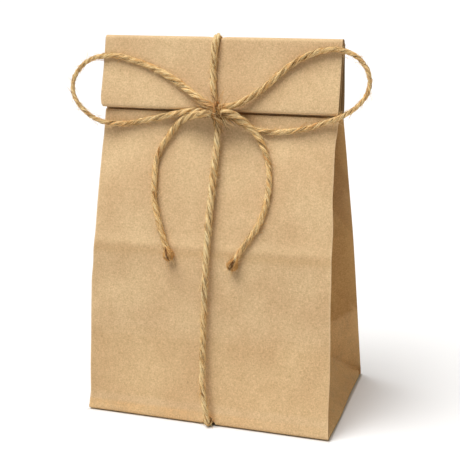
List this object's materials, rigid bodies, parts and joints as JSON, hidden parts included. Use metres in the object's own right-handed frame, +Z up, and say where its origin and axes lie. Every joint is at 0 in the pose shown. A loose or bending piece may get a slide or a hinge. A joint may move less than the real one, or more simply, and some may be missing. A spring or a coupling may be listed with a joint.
{
  "type": "block bottom paper bag",
  "caption": "Kraft paper bag with a block bottom and side gussets, its top folded down twice and tied with a jute twine bow.",
  "frame": {"origin": "on the ground under the middle of the bag's bottom", "axes": "+Z up, the front with the bow faces -Y, +X to the right seen from the front"},
  "size_m": [0.1696, 0.0925, 0.2031],
  "materials": {
    "kraft_paper": "matte uncoated kraft",
    "jute_twine": "dry hairy plied jute"
  },
  "bodies": {
    "root": {"paper_bag": "kraft_paper", "twine_band": "jute_twine", "bow_knot": "jute_twine", "bow_loop_left": "jute_twine", "bow_loop_right": "jute_twine", "bow_tail_left": "jute_twine", "bow_tail_right": "jute_twine"}
  },
  "joints": []
}
